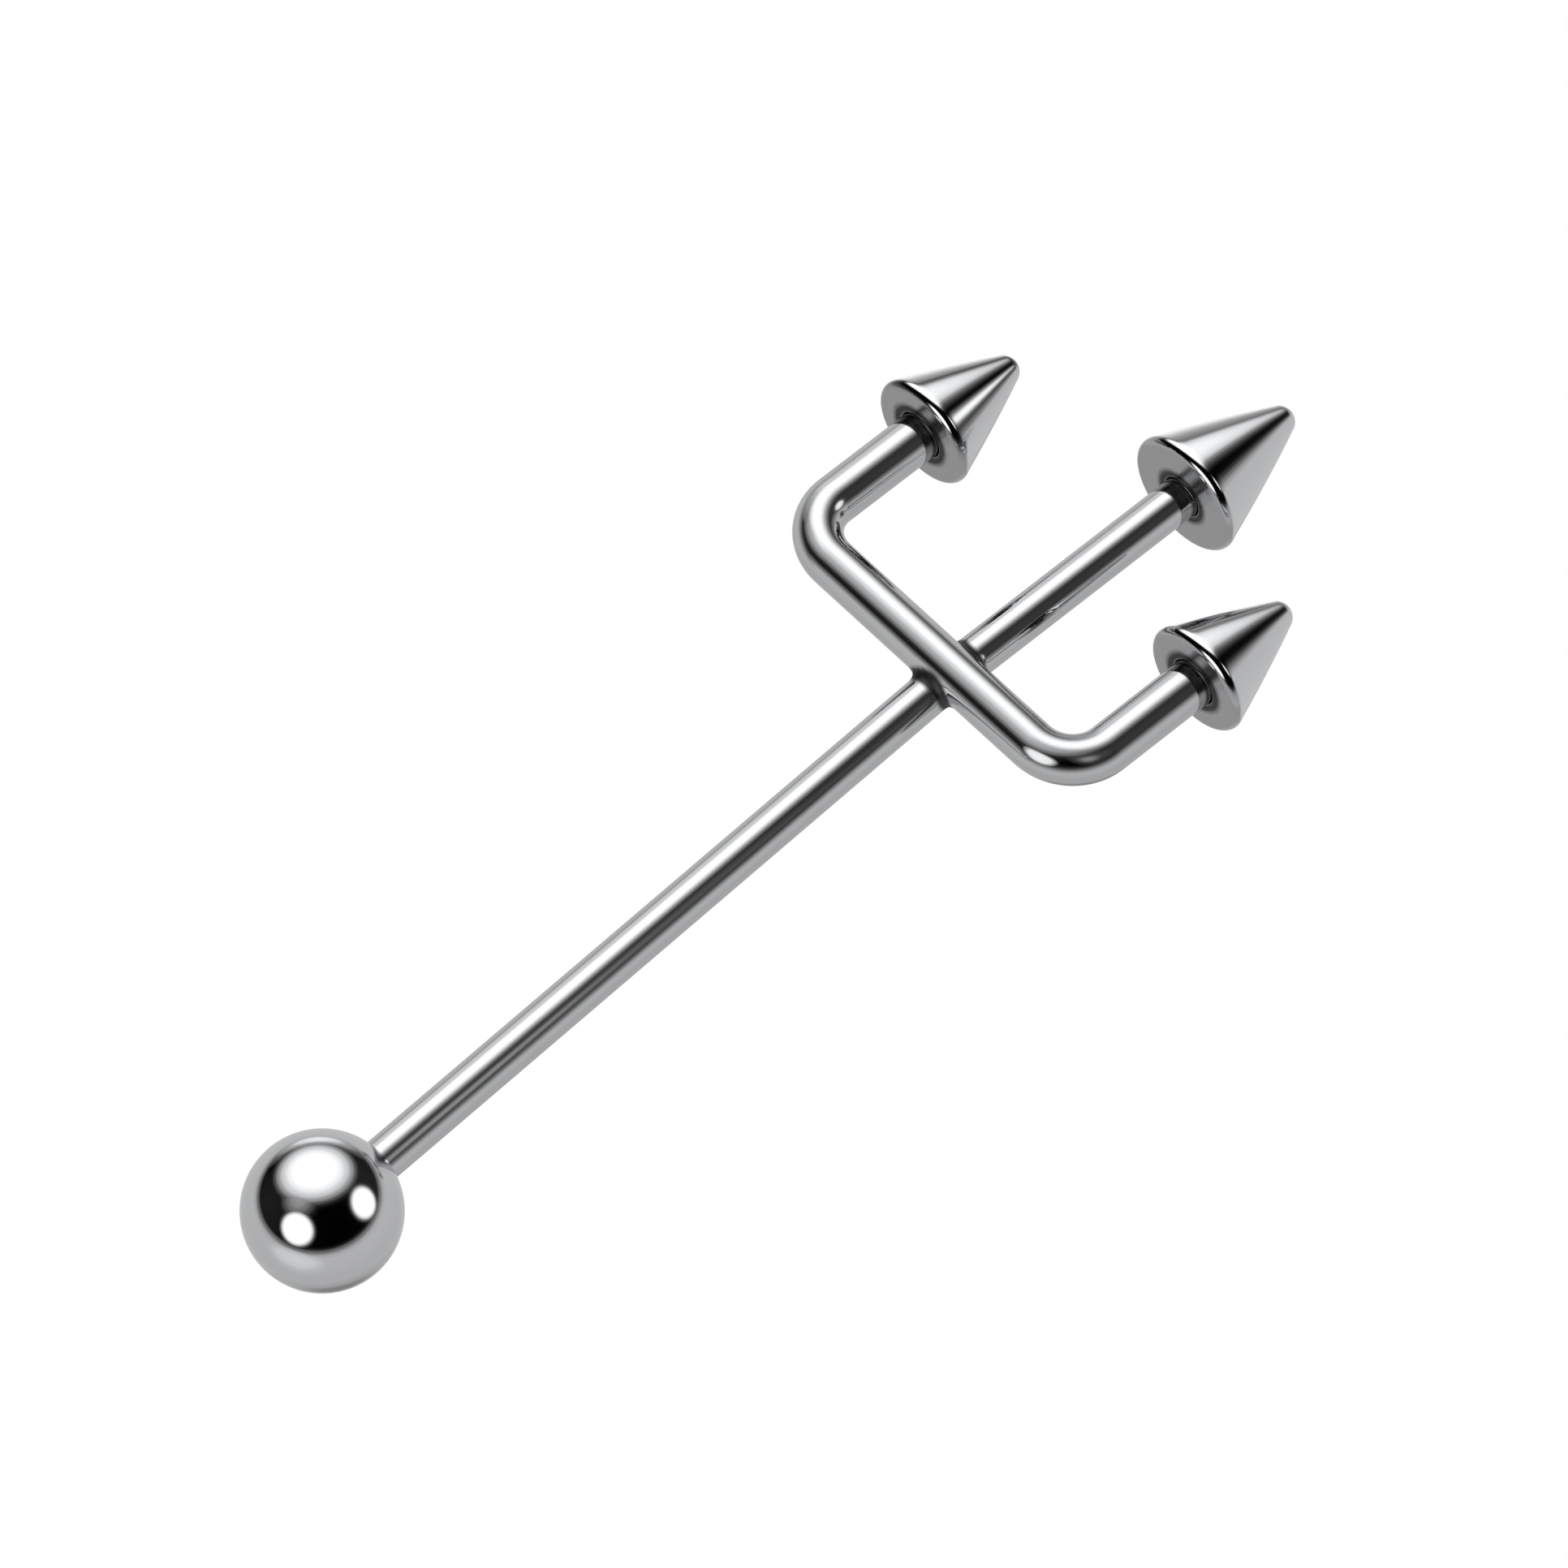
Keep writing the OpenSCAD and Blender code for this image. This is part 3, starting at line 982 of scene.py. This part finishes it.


# %% [markdown]
# ## The ball
#
# The ball is turned, drilled and screwed onto the shank. Its sphere is the clearest mirror of the piece,
# so it gets many fine rings. The edge of its mouth is just broken, with a ring close by that holds the
# bend, and a thin ring of painted shade round the mouth darkens it there.

# %% Ball
BALL_STEPS = 96
HOLD_ANGLE = 0.5
MOUTH_RADIUS = SHANK_RADIUS + FIT_GAP
MOUTH_BREAK = 0.04
MOUTH_SHADE_WIDTH = 0.2
mouth_angle = math.degrees(math.asin((MOUTH_RADIUS + MOUTH_BREAK) / BALL_RADIUS))
outline = arc((0.0, 0.0), BALL_RADIUS, 180.0, mouth_angle + HOLD_ANGLE, BALL_STEPS)
outline += arc((0.0, 0.0), BALL_RADIUS, mouth_angle + HOLD_ANGLE, mouth_angle, 1)[1:]
outline += [(BALL_RADIUS * math.cos(math.radians(mouth_angle)) - MOUTH_BREAK, MOUTH_RADIUS)]
outline += drilled(BALL_RADIUS, -1, SHANK_RADIUS)
ball = tapped(lathe(outline), BALL_RADIUS, -1)
# Painted shade in a thin ring round the mouth, carried by the corner value.
corner = ball.verts.layers.float.new("corner")
for vert in ball.verts:
    if vert.co.x > 0:
        vert[corner] = 1.0 - ease(vert.co.yz.length, MOUTH_RADIUS, MOUTH_RADIUS + MOUTH_SHADE_WIDTH)
finish_piece("polished_ball", ball, on_rod, "ball_steel", "ball", "ball")

# %% [markdown]
# ## The outline of a cone
#
# Each cone is turned from bar: a flat base with a small rounding at its rim, a flank, and a tip that is
# rounded so that it doesn't scratch. A straight flank would mirror one flat grey. Buffing has left the
# real one very slightly bowed, so it is an arc of a circle as large as a small plate, and that circle
# touches the small circles of the rim and the tip.

# %% Outline of a cone
BOW_RADIUS = 70.0
BASE_STEPS = 12
RIM_STEPS = 12
FLANK_STEPS = 24
TIP_STEPS = 24


def cone_outline(radius, height, rod_radius):
    """Outline from the blind end of the hole, out over the base and up the flank to the tip."""
    rim = Vector((RIM_RADIUS, radius - RIM_RADIUS))
    tip = Vector((height - TIP_RADIUS, 0.0))
    gap = (tip - rim).length
    toward_tip = (tip - rim) / gap
    rim_reach, tip_reach = BOW_RADIUS - RIM_RADIUS, BOW_RADIUS - TIP_RADIUS
    along = (rim_reach ** 2 - tip_reach ** 2 + gap ** 2) / (2 * gap)
    below = math.sqrt(rim_reach ** 2 - along ** 2)
    bow = rim + toward_tip * along + Vector((toward_tip.y, -toward_tip.x)) * below
    start, end = (math.degrees(math.atan2(*(centre - bow).yx)) for centre in (rim, tip))
    mouth = rod_radius + FIT_GAP
    edge = [(HOLD + MOUTH_BREAK, mouth), (MOUTH_BREAK, mouth), (0.0, mouth + MOUTH_BREAK)]
    base = [(0.0, away) for away in even_steps(mouth + 2 * MOUTH_BREAK, rim.y - HOLD, BASE_STEPS)]
    rounding = arc(rim, RIM_RADIUS, 180.0, start, RIM_STEPS)
    flank = arc(bow, BOW_RADIUS, start, end, FLANK_STEPS)[1:]
    point = arc(tip, TIP_RADIUS, end, 0.0, TIP_STEPS)[1:]
    return drilled(0.0, 1, rod_radius)[::-1] + edge + base + rounding + flank + point


print("A side cone's outline has", len(cone_outline(**SIDE_CONE, rod_radius=WIRE_RADIUS)), "points")

# %% [markdown]
# ## The cones
#
# The three cones are made alike: the centre one is larger and has a seat for the thinner rod. A shared
# mesh for the side cones isn't possible, because each finished mesh holds its own place on the part.
# The painted shade on a base is darkest at the rod and thins out over the next two thirds of a millimetre.

# %% Cones
BASE_SHADE_WIDTH = 0.65
for name, cone, rod_radius, foot, mirror in (
    ("centre", CENTRE_CONE, SHANK_RADIUS, (CENTRE_LENGTH, 0.0, 0.0), "cones"),
    ("left", SIDE_CONE, WIRE_RADIUS, (PRONG_LENGTH, LEFT_REACH, FORK_LIFT), "left_cone"),
    ("right", SIDE_CONE, WIRE_RADIUS, (PRONG_LENGTH, -RIGHT_REACH, FORK_LIFT), "cones"),
):
    place = on_fork @ Matrix.Translation(foot)
    spike = tapped(lathe(cone_outline(**cone, rod_radius=rod_radius)), 0.0, 1)
    # Painted shade on the base near the rod and in the hole, carried by the corner value.
    corner = spike.verts.layers.float.new("corner")
    for vert in spike.verts:
        if vert.co.x < POST_LENGTH:
            vert[corner] = 1.0 - ease(vert.co.yz.length, rod_radius, rod_radius + BASE_SHADE_WIDTH)
    finish_piece("polished_cone_" + name, spike, place, "cone_steel", "cone_" + name, mirror)
